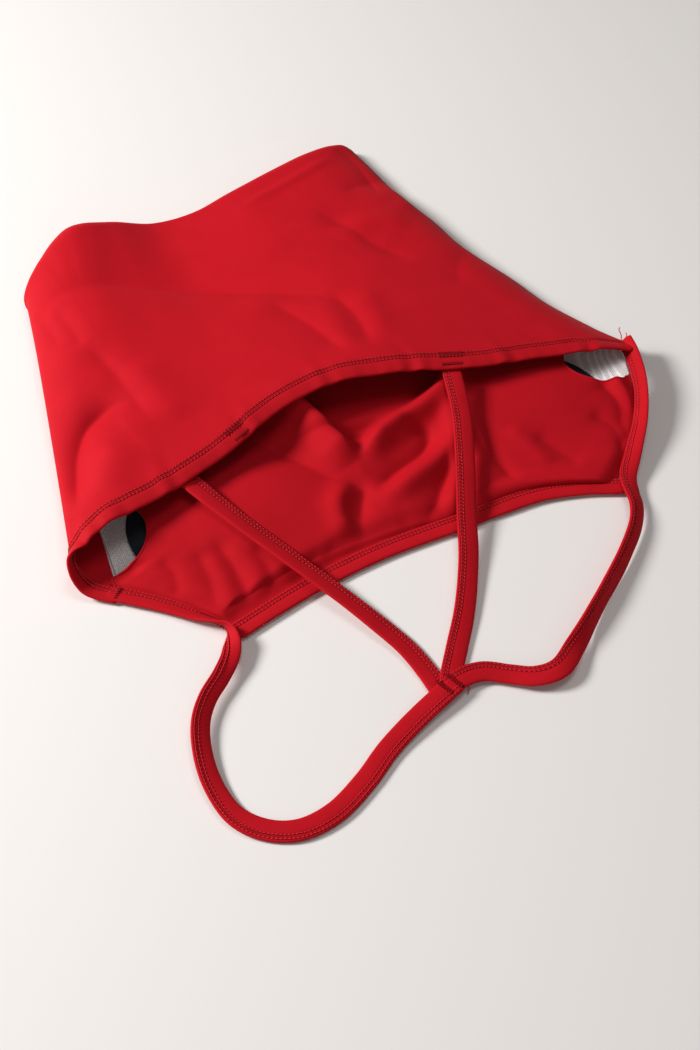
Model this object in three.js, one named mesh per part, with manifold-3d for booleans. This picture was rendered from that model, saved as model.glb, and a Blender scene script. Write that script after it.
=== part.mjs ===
// Strappy gymnastics leotard, lying on its front with the lower half folded under.
// Millimetres, +Z up. The body runs along Y: neckline towards -Y, waist fold towards +Y.
// Outlines are drawn for the sample size and graded to the wanted width and length.
import * as THREE from 'three';
import { mergeVertices } from 'three/addons/utils/BufferGeometryUtils.js';
import Module from 'manifold-3d';

const wasm = await Module();
wasm.setup();

// Overall sizes
const bustWidth = 350;
const torsoLength = 280;
const sampleBustWidth = 350;
const sampleTorsoLength = 280;

// Cloth, tape and elastic
const clothThickness = 0.8;
const meshThickness = 0.6;
const layerGap = 0.4;
const bindingWidth = 9;
const bindingThickness = 2.8;
const legBindingThickness = 2.4;
const tapeWall = 0.6;
const elasticGap = 0.42;
const bodyElasticWidth = 4.5;
const seamGap = 0.5;
const seamInset = 1;
const tackThickness = 0.8;
const tackInset = 1;
const joinTackLength = 3;

// Straps
const strapWidth = 11;
const strapThickness = 2.4;
const strapElasticWidth = 7;

// Cup pads and the lining that pockets them
const padDiameter = 90;
const padThickness = 3.6;
const padRimThickness = 1.2;
const padBowlDepth = 2.4;
const liningLoft = 4.2;
const liningEdgeRise = 4.5;
const liningInset = 0.003;
const slotHeight = 40;
const slotDepth = 21;
const slotCutHeight = 40;
const slotCutBase = -5;
const bustShare = 0.52;
const bandWidth = 9;
const bandThickness = 1.6;

// Lower half
const crotchWidth = 60;
const crotchSlant = 5;
const lowerFrontHeight = 2.6;
const lowerMargin = 8.5;
const liftRamp = 12;
const hipLiftStart = 22;
const hipLiftRun = 20;
const frontLegShare = 0.2;
const seatLegShare = 0.35;
const frontFoldShare = 0.8;
const gussetLength = 70;
const gussetInset = 4;
const foldBulge = 0.9;
const backFoldSteps = 6;
const frontFoldSteps = 4;
const lowerShares = [0, 0.2, 0.45, 0.75, 1];
const foldOutwards = new THREE.Vector3(-0.285, 0.958, 0);

// Stack of layers above the floor
const lowerStack = lowerFrontHeight + legBindingThickness + layerGap;
const frontLevel = clothThickness / 2;
const meshLevel = clothThickness + layerGap + meshThickness / 2;
const padLevel = clothThickness + layerGap + meshThickness + layerGap;
const liningLevel = meshLevel + meshThickness / 2 + layerGap / 2 + clothThickness / 2;

const red = { color: 0xc4182a, roughness: 0.62, metalness: 0 };
const finish = {
  jersey: red,
  tape: { color: 0xb81527, roughness: 0.6, metalness: 0 },
  mesh: { color: 0xd9d9da, roughness: 0.8, metalness: 0 },
  foam: { color: 0x12161c, roughness: 0.85, metalness: 0 },
  elastic: { color: 0xe6e2dc, roughness: 0.75, metalness: 0 },
  thread: { color: 0x8f1020, roughness: 0.7, metalness: 0 },
};

const leotard = new THREE.Group();
const up = new THREE.Vector3(0, 0, 1);

// How much longer the straight runs between stations get on a bigger garment.
const facetGrowth = Math.max(1, bustWidth / sampleBustWidth, torsoLength / sampleTorsoLength);

// Grades a point of the sample size to the wanted width and length.
function graded(x, y, z) {
  return new THREE.Vector3((x * bustWidth) / sampleBustWidth, (y * torsoLength) / sampleTorsoLength, z);
}

function curveOf(points) {
  return new THREE.CatmullRomCurve3(points.map((p) => graded(...p)), false, 'centripetal');
}

function smooth(value) {
  const x = Math.min(1, Math.max(0, value));
  return x * x * (3 - 2 * x);
}

function addPart(name, geometry, look) {
  geometry.computeVertexNormals();
  const mesh = new THREE.Mesh(geometry, new THREE.MeshStandardMaterial(look));
  mesh.name = name;
  leotard.add(mesh);
  return mesh;
}

// Builds a geometry from points and triangles, turned so that its faces point out.
function bodyFrom(points, triangles) {
  let volume = 0;
  for (const [a, b, c] of triangles) {
    volume += points[a].dot(new THREE.Vector3().crossVectors(points[b], points[c]));
  }
  const ordered = volume > 0 ? triangles : triangles.map(([a, b, c]) => [a, c, b]);
  const geometry = new THREE.BufferGeometry();
  geometry.setAttribute('position', new THREE.Float32BufferAttribute(points.flatMap((p) => p.toArray()), 3));
  geometry.setIndex(ordered.flat());
  return geometry;
}

// A sheet of cloth with a thickness, from the rows of points of its middle surface.
function sheetBody(rows, thickness) {
  const rowCount = rows.length;
  const columnCount = rows[0].length;
  const clampRow = (i) => Math.min(rowCount - 1, Math.max(0, i));
  const clampColumn = (j) => Math.min(columnCount - 1, Math.max(0, j));
  const upper = [];
  const lower = [];
  for (let i = 0; i < rowCount; i += 1) {
    for (let j = 0; j < columnCount; j += 1) {
      const along = rows[clampRow(i + 1)][j].clone().sub(rows[clampRow(i - 1)][j]);
      const across = rows[i][clampColumn(j + 1)].clone().sub(rows[i][clampColumn(j - 1)]);
      const normal = across.cross(along).normalize().multiplyScalar(thickness / 2);
      upper.push(rows[i][j].clone().add(normal));
      lower.push(rows[i][j].clone().sub(normal));
    }
  }
  const points = upper.concat(lower);
  const back = upper.length;
  const at = (i, j) => i * columnCount + j;
  const triangles = [];
  const quad = (a, b, c, d) => triangles.push([a, b, c], [a, c, d]);
  for (let i = 0; i < rowCount - 1; i += 1) {
    for (let j = 0; j < columnCount - 1; j += 1) {
      quad(at(i, j), at(i, j + 1), at(i + 1, j + 1), at(i + 1, j));
      quad(back + at(i, j), back + at(i + 1, j), back + at(i + 1, j + 1), back + at(i, j + 1));
    }
  }
  const rim = [];
  for (let j = 0; j < columnCount - 1; j += 1) rim.push(at(0, j));
  for (let i = 0; i < rowCount - 1; i += 1) rim.push(at(i, columnCount - 1));
  for (let j = columnCount - 1; j > 0; j -= 1) rim.push(at(rowCount - 1, j));
  for (let i = rowCount - 1; i > 0; i -= 1) rim.push(at(i, 0));
  rim.forEach((a, k) => {
    const b = rim[(k + 1) % rim.length];
    quad(a, back + a, back + b, b);
  });
  return bodyFrom(points, triangles);
}

// Sweeps a flat section along stations, each with a place, a sideways and a normal direction.
function sweptBody(stations, outlinePoints) {
  const outline = outlinePoints.map(([w, n]) => new THREE.Vector2(w, n));
  if (THREE.ShapeUtils.isClockWise(outline)) outline.reverse();
  const points = [];
  for (const { place, side, normal } of stations) {
    for (const { x, y } of outline) {
      points.push(place.clone().addScaledVector(side, x).addScaledVector(normal, y));
    }
  }
  const size = outline.length;
  const triangles = [];
  for (let i = 0; i < stations.length - 1; i += 1) {
    for (let k = 0; k < size; k += 1) {
      const a = i * size + k;
      const b = i * size + ((k + 1) % size);
      triangles.push([a, b, b + size], [a, b + size, a + size]);
    }
  }
  const last = (stations.length - 1) * size;
  for (const [a, b, c] of THREE.ShapeUtils.triangulateShape(outline, [])) {
    triangles.push([c, b, a], [last + a, last + b, last + c]);
  }
  return bodyFrom(points, triangles);
}

// Section of a folded tape: closed along its free edge, open towards the cloth.
function tapeSection(width, thickness) {
  const half = thickness / 2;
  const inner = half - tapeWall;
  return [
    [0, half],
    [width, half],
    [width, -half],
    [0, -half],
    [0, -inner],
    [width - tapeWall, -inner],
    [width - tapeWall, inner],
    [0, inner],
  ];
}

// Section of the elastic that lies in the fold of a tape.
function elasticSection(width, thickness, elasticWidth) {
  const half = thickness / 2 - tapeWall - elasticGap;
  const outer = width - tapeWall - elasticGap;
  return [
    [outer - elasticWidth, half],
    [outer, half],
    [outer, -half],
    [outer - elasticWidth, -half],
  ];
}

const byLength = (curve) => ({ point: (u) => curve.getPointAt(u), tangent: (u) => curve.getTangentAt(u) });
const byControl = (curve) => ({ point: (u) => curve.getPoint(u), tangent: (u) => curve.getTangent(u) });

// Evenly spread shares of a length, both ends included.
function spread(start, end, count) {
  return Array.from({ length: count + 1 }, (_, i) => start + ((end - start) * i) / count);
}

// Stations along an edge of a panel. Each one faces away from the matching point inside the panel.
function edgeStations(edge, inside, lift, shares) {
  return shares.map((u) => {
    const place = edge.point(u);
    const tangent = edge.tangent(u);
    const outwards = place.clone().sub(inside(u));
    outwards.addScaledVector(tangent, -outwards.dot(tangent)).normalize();
    const normal = tangent.clone().cross(outwards).normalize();
    place.addScaledVector(up, lift).addScaledVector(outwards, seamGap * facetGrowth ** 2);
    return { place, side: outwards, normal };
  });
}

function addBinding(name, stations, thickness) {
  addPart(`${name}_binding`, sweptBody(stations, tapeSection(bindingWidth, thickness)), finish.tape);
  const elastic = elasticSection(bindingWidth, thickness, bodyElasticWidth);
  addPart(`${name}_elastic`, sweptBody(stations, elastic), finish.elastic);
}

// ---- Outlines, from the right side seam to the left one ----

// The back panel's scooped upper edge: it rolls round the left side to the seam on the floor.
const backEdge = curveOf([
  [171, 0, 9.5],
  [152, 4, 16],
  [114, 8, 20],
  [75, 10, 25],
  [31, 18, 29],
  [-8, 21, 30],
  [-45, 13, 28],
  [-82, -5, 25],
  [-118, -18, 24],
  [-151, -27, 22],
  [-168, -39, 13],
  [-164, -53, 4],
  [-151, -63, 1.6],
]);

// The top of the fold at the waist, with the hump near its left end.
const foldTop = curveOf([
  [84, 214, 9],
  [77, 212, 15],
  [52, 204, 17],
  [24, 195, 17],
  [-6, 185, 17],
  [-32, 177, 17],
  [-58, 175, 19],
  [-84, 178, 23],
  [-108, 176, 24],
  [-131, 160, 18],
  [-143, 149, 12],
  [-143, 148, 9.5],
  [-141, 147, 9],
]);

const rightArmhole = curveOf([
  [166, -5, 3],
  [159, -33, 1.8],
  [143, -62, 0.8],
  [123, -84, 0.5],
]);
const neckline = curveOf([
  [123, -84, 0.5],
  [103, -78, 0.4],
  [77, -74, 0.4],
  [31, -77, 0.4],
  [-19, -81, 0.4],
  [-60, -89, 0.4],
  [-103, -102, 0.4],
]);
const leftArmhole = curveOf([
  [-103, -102, 0.4],
  [-121, -85, 0.4],
  [-149.5, -64, 0.4],
]);

// Middles of the cup pads and of the side slots that they go in through.
const padCentreLeft = graded(-89, -37, 0);
const padCentreRight = graded(92, -24, 0);
const slotCentreLeft = graded(-148.5, -35, 0);
const slotCentreRight = graded(162, 3, 0);

// Where along the back edge each back strap is sewn in, and where the four straps meet.
const strapSeatLeft = 0.62;
const strapSeatRight = 0.28;
const strapMeeting = graded(-20, -165, 0);

// Crotch and hips of the lower half, under the front.
const crotchCentre = graded(0, 9, 0);
const crotchRight = new THREE.Vector3(crotchWidth / 2, crotchSlant, 0).add(crotchCentre);
const crotchLeft = new THREE.Vector3(-crotchWidth / 2, -crotchSlant, 0).add(crotchCentre);
const hipRight = graded(100, 116, 0);
const hipLeft = graded(-132, 72, 0);

// A leg opening runs from the hip to the crotch; a small share cuts it high.
function legCurve(hip, crotch, share) {
  const x = THREE.MathUtils.lerp(crotch.x, hip.x, share);
  const y = THREE.MathUtils.lerp(hip.y, crotch.y, share);
  return new THREE.QuadraticBezierCurve3(hip, new THREE.Vector3(x, y, 0), crotch);
}

// The lower edge of the front or the seat: leg, crotch, leg.
function lowerEdge(share, legColumns, crotchColumns) {
  const right = legCurve(hipRight, crotchRight, share);
  const left = legCurve(hipLeft, crotchLeft, share);
  const places = right.getSpacedPoints(legColumns);
  for (let i = 1; i < crotchColumns; i += 1) {
    places.push(crotchRight.clone().lerp(crotchLeft, i / crotchColumns));
  }
  places.push(...left.getSpacedPoints(legColumns).reverse());
  return { right, left, places };
}

// ---- Panels ----

// Both panels turn under at the waist: a half-round of cloth at each column.
function foldRows(tops, bottomLevel, steps) {
  const rows = [];
  for (let i = 1; i < steps; i += 1) {
    const angle = Math.PI / 2 - (Math.PI * i) / steps;
    rows.push(tops.map((top) => {
      const radius = (top.z - bottomLevel) / 2;
      const place = top.clone().addScaledVector(foldOutwards, foldBulge * radius * Math.cos(angle));
      place.z = bottomLevel + radius + radius * Math.sin(angle);
      return place;
    }));
  }
  return rows;
}

function lowerRows(tops, edge, level, shares) {
  return shares.map((share) => tops.map((top, j) => {
    const place = top.clone().lerp(edge.places[j], share);
    place.z = level;
    return place;
  }));
}

// Distance from a point to the lower half's outline in plan, zero inside it.
function distanceToLower(point) {
  let inside = false;
  let nearest = Infinity;
  lowerOutline.forEach((a, i) => {
    const b = lowerOutline[(i + 1) % lowerOutline.length];
    if ((a.y > point.y) !== (b.y > point.y)) {
      const crossing = a.x + ((point.y - a.y) * (b.x - a.x)) / (b.y - a.y);
      if (point.x < crossing) inside = !inside;
    }
    const side = new THREE.Line3(a, b);
    const foot = side.closestPointToPoint(new THREE.Vector3(point.x, point.y, 0), true, new THREE.Vector3());
    nearest = Math.min(nearest, Math.hypot(foot.x - point.x, foot.y - point.y));
  });
  return inside ? 0 : nearest;
}

// How far the front panel is carried above the floor by the lower half beneath it.
function liftAt(point) {
  const hips = smooth((point.y - hipLiftStart) / hipLiftRun);
  const clear = distanceToLower(point) - bindingWidth - lowerMargin * facetGrowth ** 3;
  return lowerStack * Math.max(hips, smooth(1 - clear / liftRamp));
}

const backColumns = Array.from({ length: 25 }, (_, j) => j / 24);
const backTops = backColumns.map((u) => foldTop.getPoint(u));
const backShares = [0, 0.06, 0.14, 0.25, 0.4, 0.55, 0.7, 0.85, 1];
const backUpperRows = backShares.map((t) => backColumns.map((u, j) => backEdge.getPoint(u).lerp(backTops[j], t)));
const seatLegColumns = 9;
const seatEdge = lowerEdge(seatLegShare, seatLegColumns, 6);
const seatLevel = clothThickness / 2;
const lowerOutline = [foldTop.getPoint(0).setZ(0), ...seatEdge.places, foldTop.getPoint(1).setZ(0)];
const seatRows = lowerRows(backTops, seatEdge, seatLevel, lowerShares);
const backRows = [...backUpperRows, ...foldRows(backTops, seatLevel, backFoldSteps), ...seatRows];
addPart('back_panel', sheetBody(backRows, clothThickness), finish.jersey);

// The near edge of the front, sharp at the two strap points.
const armholeColumns = 4;
const neckColumns = 12;
const frontEdge = [
  ...rightArmhole.getSpacedPoints(armholeColumns).slice(0, -1),
  ...neckline.getSpacedPoints(neckColumns).slice(0, -1),
  ...leftArmhole.getSpacedPoints(armholeColumns),
];
const frontColumns = frontEdge.map((_, j) => j / (frontEdge.length - 1));
const foldPlaces = frontColumns.map((u) => foldTop.getPoint(frontFoldShare * u).setZ(0));
const lastColumn = frontEdge.length - 1;

// A point of the front, a share of the way from the near edge to the fold, at a level of its stack.
function frontPoint(j, share, level) {
  const near = frontEdge[j];
  const point = near.clone().lerp(foldPlaces[j], share);
  if (j === 0) point.x -= seamInset;
  if (j === lastColumn) point.x += seamInset;
  const raised = (near.z - frontLevel) * (1 - share) ** 2;
  point.z = liftAt(point) + level + raised;
  return point;
}

const frontShares = [0, 0.018, 0.05, 0.09, 0.15, 0.2, 0.24, 0.28, 0.32, 0.36, 0.4, 0.45, 0.52, 0.7, 0.85, 1];
const frontUpperRows = frontShares.map((t) => frontEdge.map((_, j) => frontPoint(j, t, frontLevel)));
const frontTops = frontUpperRows[frontUpperRows.length - 1];
const frontLegColumns = 9;
const frontLowerEdge = lowerEdge(frontLegShare, frontLegColumns, 2);
const frontLowerLevel = lowerFrontHeight + clothThickness / 2;
const frontLowerRows = lowerRows(frontTops, frontLowerEdge, frontLowerLevel, lowerShares);
const frontRows = [...frontUpperRows, ...foldRows(frontTops, frontLowerLevel, frontFoldSteps), ...frontLowerRows];
addPart('front_panel', sheetBody(frontRows, clothThickness), finish.jersey);

// ---- Bust: power mesh, cup pads, lining and its band ----

const bustShares = frontShares.filter((share) => share <= bustShare);
const meshRows = bustShares.map((t) => frontEdge.map((_, j) => frontPoint(j, t, meshLevel)));
addPart('power_mesh', sheetBody(meshRows, meshThickness), finish.mesh);

// The lining stands clear of the pads everywhere but along its own edges.
function liningPoint(j, share) {
  const length = frontEdge[j].distanceTo(foldPlaces[j]);
  const near = smooth((share * length) / liningEdgeRise);
  const far = smooth(((bustShare - share) * length) / liningEdgeRise);
  const side = j === 0 || j === lastColumn ? 0 : 1;
  const point = frontPoint(j, share + liningInset, liningLevel);
  point.z += liningLoft * near * far * side;
  return point;
}

function solidOf(geometry) {
  geometry.deleteAttribute('normal');
  geometry.deleteAttribute('uv');
  const merged = mergeVertices(geometry, 1e-4);
  return new wasm.Manifold(new wasm.Mesh({
    numProp: 3,
    vertProperties: new Float32Array(merged.attributes.position.array),
    triVerts: new Uint32Array(merged.index.array),
  }));
}

function geometryOf(solid) {
  const mesh = solid.getMesh();
  const geometry = new THREE.BufferGeometry();
  geometry.setAttribute('position', new THREE.BufferAttribute(mesh.vertProperties, 3));
  geometry.setIndex(new THREE.BufferAttribute(mesh.triVerts, 1));
  return geometry;
}

// The side slot that a pad goes in through: an oval bite out of the lining's side edge.
function slotCutter(centre) {
  const oval = new THREE.Shape().absellipse(0, 0, slotDepth, slotHeight / 2, 0, 2 * Math.PI);
  const cutter = new THREE.ExtrudeGeometry(oval, { depth: slotCutHeight, bevelEnabled: false, curveSegments: 12 });
  cutter.translate(centre.x, centre.y, slotCutBase);
  return solidOf(cutter);
}

const liningRows = bustShares.map((t) => frontEdge.map((_, j) => liningPoint(j, t)));
let lining = solidOf(sheetBody(liningRows, clothThickness));
lining = lining.subtract(slotCutter(slotCentreLeft));
lining = lining.subtract(slotCutter(slotCentreRight));
addPart('front_lining', geometryOf(lining), finish.jersey);

const bandLevel = clothThickness + layerGap + bandThickness / 2;
const bandShares = [bustShare + 0.005, bustShare + 0.005 + bandWidth / torsoLength];
const bandRows = bandShares.map((t) => frontEdge.map((_, j) => frontPoint(j, t, bandLevel)));
addPart('under_bust_elastic', sheetBody(bandRows, bandThickness), finish.elastic);

// A round cup pad, a shallow bowl that rests on its crown.
function addPad(name, centre) {
  const radius = padDiameter / 2;
  const profile = [];
  const steps = 5;
  for (let i = 0; i <= steps; i += 1) {
    const r = (radius * i) / steps;
    profile.push(new THREE.Vector2(r, padBowlDepth * (i / steps) ** 2));
  }
  for (let i = steps; i >= 0; i -= 1) {
    const r = (radius * i) / steps;
    const share = (i / steps) ** 2;
    const thickness = THREE.MathUtils.lerp(padThickness, padRimThickness, share);
    profile.push(new THREE.Vector2(r, padBowlDepth * share + thickness));
  }
  const geometry = new THREE.LatheGeometry(profile, 32);
  geometry.rotateX(Math.PI / 2);
  geometry.translate(centre.x, centre.y, padLevel);
  addPart(name, geometryOf(solidOf(geometry)), finish.foam);
}

addPad('cup_pad_left', padCentreLeft);
addPad('cup_pad_right', padCentreRight);

// Cotton patch inside the crotch, between the seat and the front.
const gussetUp = foldTop.getPoint(0.5).setZ(0).sub(crotchCentre).normalize();
const gussetRows = [0, 0.5, 1].map((share) => [1, 0.5, 0, -0.5, -1].map((side) => {
  const half = crotchWidth / 2 - gussetInset;
  const sideways = crotchRight.clone().sub(crotchLeft).normalize().multiplyScalar(side * half);
  const along = gussetInset + gussetLength * share;
  const place = crotchCentre.clone().add(sideways).addScaledVector(gussetUp, along);
  place.z = clothThickness + layerGap + meshThickness / 2;
  return place;
}));
addPart('gusset_lining', sheetBody(gussetRows, meshThickness), finish.mesh);

// ---- Bindings with the elastic in their fold ----

const bodyLift = bindingThickness / 2 - frontLevel;
const legLift = (legBindingThickness - clothThickness) / 2;
const inFold = (u) => foldTop.getPoint(u).setZ(0);
const midFold = () => foldTop.getPoint(0.5).setZ(0);

const backEdgeShares = [...spread(0, 0.75, 24), ...spread(0.75, 1, 20).slice(1)];
const backEdgeStations = (shares) => edgeStations(byControl(backEdge), (u) => foldTop.getPoint(u), 0, shares);
addBinding('back_edge', backEdgeStations(backEdgeShares), bindingThickness);

function addFrontBinding(name, curve, inside, columns) {
  const stations = edgeStations(byLength(curve), inside, bodyLift, spread(0, 1, 2 * columns));
  addBinding(name, stations, bindingThickness);
}

addFrontBinding('armhole_right', rightArmhole, () => inFold(0.2), armholeColumns);
addFrontBinding('neckline', neckline, (u) => inFold(0.2 + 0.6 * u), neckColumns);
addFrontBinding('armhole_left', leftArmhole, () => inFold(0.8), armholeColumns);

function addLegBinding(name, curve, level, columns) {
  const stations = edgeStations(byLength(curve), midFold, level + legLift, spread(0, 1, columns));
  addBinding(name, stations, legBindingThickness);
}

for (const side of ['right', 'left']) {
  addLegBinding(`leg_front_${side}`, frontLowerEdge[side], frontLowerLevel, frontLegColumns);
  addLegBinding(`leg_seat_${side}`, seatEdge[side], seatLevel, seatLegColumns);
}

// ---- Straps: flat tapes with elastic inside, all meeting at one sewn point ----

const strapLevel = strapThickness / 2;
const upperStrapLevel = strapThickness + layerGap + strapLevel;
const halfStrap = strapWidth / 2;

function addStrap(name, curve, count) {
  const stations = curve.getSpacedPoints(count).map((place, i) => {
    const tangent = curve.getTangentAt(i / count);
    const side = tangent.clone().cross(up).normalize();
    return { place, side, normal: side.clone().cross(tangent).normalize() };
  });
  const centred = (section) => section.map(([w, n]) => [w - strapWidth / 2, n]);
  addPart(name, sweptBody(stations, centred(tapeSection(strapWidth, strapThickness))), finish.tape);
  const elastic = elasticSection(strapWidth, strapThickness, strapElasticWidth);
  addPart(`${name}_elastic`, sweptBody(stations, centred(elastic)), finish.elastic);
}

const shoulderStrapLeft = curveOf([
  [-106.5, -113, strapLevel],
  [-109, -121, strapLevel],
  [-117, -130, strapLevel],
  [-128, -140, strapLevel],
  [-135, -151, strapLevel],
  [-139, -167, strapLevel],
  [-139, -184, strapLevel],
  [-134, -201, strapLevel],
  [-124, -211, strapLevel],
  [-109, -216.5, strapLevel],
  [-91, -214, strapLevel],
  [-72, -204, strapLevel],
  [-55, -192, strapLevel],
  [-36, -182, strapLevel],
  [-18.6, -174, strapLevel],
]);
const shoulderStrapRight = curveOf([
  [127.5, -98, strapLevel],
  [122, -111, strapLevel],
  [103, -131, strapLevel],
  [76, -154, strapLevel],
  [52, -173, strapLevel],
  [38, -182, strapLevel],
  [27, -182, strapLevel],
  [16, -176, strapLevel],
  [4, -170, strapLevel],
  [-7, -170, strapLevel],
  [-17.4, -173.5, strapLevel],
]);
const backStrapLeft = curveOf([
  [-99, -23.5, 22.5],
  [-86, -45, 16.5],
  [-65, -78, 10],
  [-48, -105, 6],
  [-33, -131, upperStrapLevel],
  [-20.5 - halfStrap, -146, upperStrapLevel],
  [-16.5 - halfStrap, -160, upperStrapLevel],
  [-14.5 - halfStrap, -168.5, upperStrapLevel],
]);
const backStrapRight = curveOf([
  [60.5, 2, 25],
  [55, -24, 19],
  [45, -53, 13.5],
  [32, -86, 8],
  [24, -107, 5],
  [4.5 + halfStrap, -134, upperStrapLevel],
  [-7.5 + halfStrap, -152, upperStrapLevel],
  [-16.5 + halfStrap, -165.5, upperStrapLevel],
]);

addStrap('shoulder_strap_left', shoulderStrapLeft, 34);
addStrap('shoulder_strap_right', shoulderStrapRight, 26);
addStrap('back_strap_left', backStrapLeft, 12);
addStrap('back_strap_right', backStrapRight, 12);

// ---- Bar tacks ----

// Stitching across the back edge where a back strap is sewn in, on top of the binding.
function addEdgeTack(name, centre) {
  const half = strapWidth / 2 / backEdge.getLength();
  const shares = spread(centre - half, centre + half, 3);
  const bottom = bindingThickness / 2 + layerGap;
  const section = [
    [tackInset, bottom + tackThickness],
    [bindingWidth - tackInset, bottom + tackThickness],
    [bindingWidth - tackInset, bottom],
    [tackInset, bottom],
  ];
  addPart(name, sweptBody(backEdgeStations(shares), section), finish.thread);
}

addEdgeTack('back_tack_left', strapSeatLeft);
addEdgeTack('back_tack_right', strapSeatRight);

const joinTack = new THREE.BoxGeometry(strapWidth, joinTackLength, tackThickness);
joinTack.rotateZ(Math.PI / 8);
const joinTackLevel = 2 * strapThickness + 2 * layerGap + tackThickness / 2;
joinTack.translate(strapMeeting.x, strapMeeting.y, joinTackLevel);
addPart('strap_join_tack', joinTack, finish.thread);

// The origin is under the middle of the garment, on the floor.
const extent = new THREE.Box3().setFromObject(leotard);
const middle = extent.getCenter(new THREE.Vector3());
leotard.position.set(-middle.x, -middle.y, -extent.min.z);
leotard.updateMatrixWorld(true);

export default leotard;
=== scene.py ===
import math

import bpy
import numpy as np
from mathutils import Matrix, Vector
from mathutils.kdtree import KDTree


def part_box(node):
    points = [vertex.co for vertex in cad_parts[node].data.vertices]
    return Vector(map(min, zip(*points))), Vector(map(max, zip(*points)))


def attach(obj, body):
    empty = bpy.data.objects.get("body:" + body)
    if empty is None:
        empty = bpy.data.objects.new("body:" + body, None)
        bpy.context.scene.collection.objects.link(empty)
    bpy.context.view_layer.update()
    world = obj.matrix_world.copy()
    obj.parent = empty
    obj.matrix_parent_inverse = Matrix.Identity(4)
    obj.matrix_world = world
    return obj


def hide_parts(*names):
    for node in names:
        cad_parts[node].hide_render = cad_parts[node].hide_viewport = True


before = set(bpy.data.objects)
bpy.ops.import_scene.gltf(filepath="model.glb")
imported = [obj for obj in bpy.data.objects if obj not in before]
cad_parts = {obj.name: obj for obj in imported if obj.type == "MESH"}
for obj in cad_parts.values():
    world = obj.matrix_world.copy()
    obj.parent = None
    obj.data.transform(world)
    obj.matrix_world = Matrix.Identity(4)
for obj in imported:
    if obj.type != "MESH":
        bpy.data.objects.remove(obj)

# A strappy gymnastics leotard in red jersey, lying on its front with its lower half folded under.
# Outlines and heights are in millimetres on the garment's own drawing: X across, Y from the neckline
# to the waist fold, Z up from the floor. make_mesh turns them into metres in the frame.

MM = 0.001
UP = np.array([0.0, 0.0, 1.0])
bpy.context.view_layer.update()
pad_low, pad_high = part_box("cup_pad_left")
PAD_CENTRES = {"left": (-89.0, -37.0), "right": (92.0, -24.0)}
drawing_origin = np.array([
    (pad_low[0] + pad_high[0]) / 2 - PAD_CENTRES["left"][0] * MM,
    (pad_low[1] + pad_high[1]) / 2 - PAD_CENTRES["left"][1] * MM,
    0.0,
])

CLOTH = 0.8
NET = 0.5
BINDING_THICKNESS = 2.4
STRAP_WIDTH = 11.0
STRAP_THICKNESS = 2.2
STITCH_ROWS = (1.1, 3.2)
STITCH_PITCH = 2.1
STITCH_RADIUS = 0.32
CROSSING_RADIUS = 0.13
GROOVE_DEPTH = 0.42
LOWER_STACK = 5.6
FLOOR_GAP = 0.05
ROW_LENGTH = 400
SIDE_FADE = 45


# ---- Lines ----

def smooth(value):
    """Eases a share from 0 to 1."""
    share = np.clip(value, 0.0, 1.0)
    return share * share * (3 - 2 * share)


def line_through(points, steps=24):
    """Close-set points of a smooth line through the given ones."""
    given = np.array(points, dtype=float)
    given = np.vstack([2 * given[0] - given[1], given, 2 * given[-1] - given[-2]])
    runs = []
    for a, b, c, d in zip(given, given[1:], given[2:], given[3:]):
        first = np.linalg.norm(b - a) ** 0.5
        second = first + np.linalg.norm(c - b) ** 0.5
        third = second + np.linalg.norm(d - c) ** 0.5
        t = np.linspace(first, second, steps, endpoint=False)[:, None]
        ab = (first - t) / first * a + t / first * b
        bc = (second - t) / (second - first) * b + (t - first) / (second - first) * c
        cd = (third - t) / (third - second) * c + (t - second) / (third - second) * d
        abc = (second - t) / second * ab + t / second * bc
        bcd = (third - t) / (third - first) * bc + (t - first) / (third - first) * cd
        runs.append((second - t) / (second - first) * abc + (t - first) / (second - first) * bcd)
    return np.vstack(runs + [given[-2:-1]])


def lengths_along(line):
    """Distance travelled from the start to each point of a line."""
    return np.concatenate([[0.0], np.cumsum(np.linalg.norm(np.diff(line, axis=0), axis=1))])


def at_share(line, shares, by_length=True):
    """Points of a line at shares of its length, or of its count of points."""
    places = lengths_along(line) if by_length else np.arange(len(line), dtype=float)
    wanted = np.asarray(shares) * places[-1]
    return np.stack([np.interp(wanted, places, line[:, axis]) for axis in range(line.shape[1])], axis=-1)


def even(line, count):
    """The given count of points, evenly spaced along a line."""
    return at_share(line, np.linspace(0, 1, count))


def unit(vectors):
    """The vectors at a length of one."""
    return vectors / np.maximum(np.linalg.norm(vectors, axis=-1, keepdims=True), 1e-9)


def ripple(along, seed):
    """A wandering value between about -1 and 1, the same each time for the same seed."""
    total = np.zeros_like(along)
    for k in range(1, 5):
        total += np.sin(along * (0.55 + 0.37 * k) + seed * (1.7 + k)) / k ** 0.7
    return total / 2.6


def near_right_side(count):
    """Fades along a row of points, from 1 at the garment's right side towards 0."""
    return np.exp(-np.linspace(0, ROW_LENGTH, count) / SIDE_FADE)


# ---- Outlines ----

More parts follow.
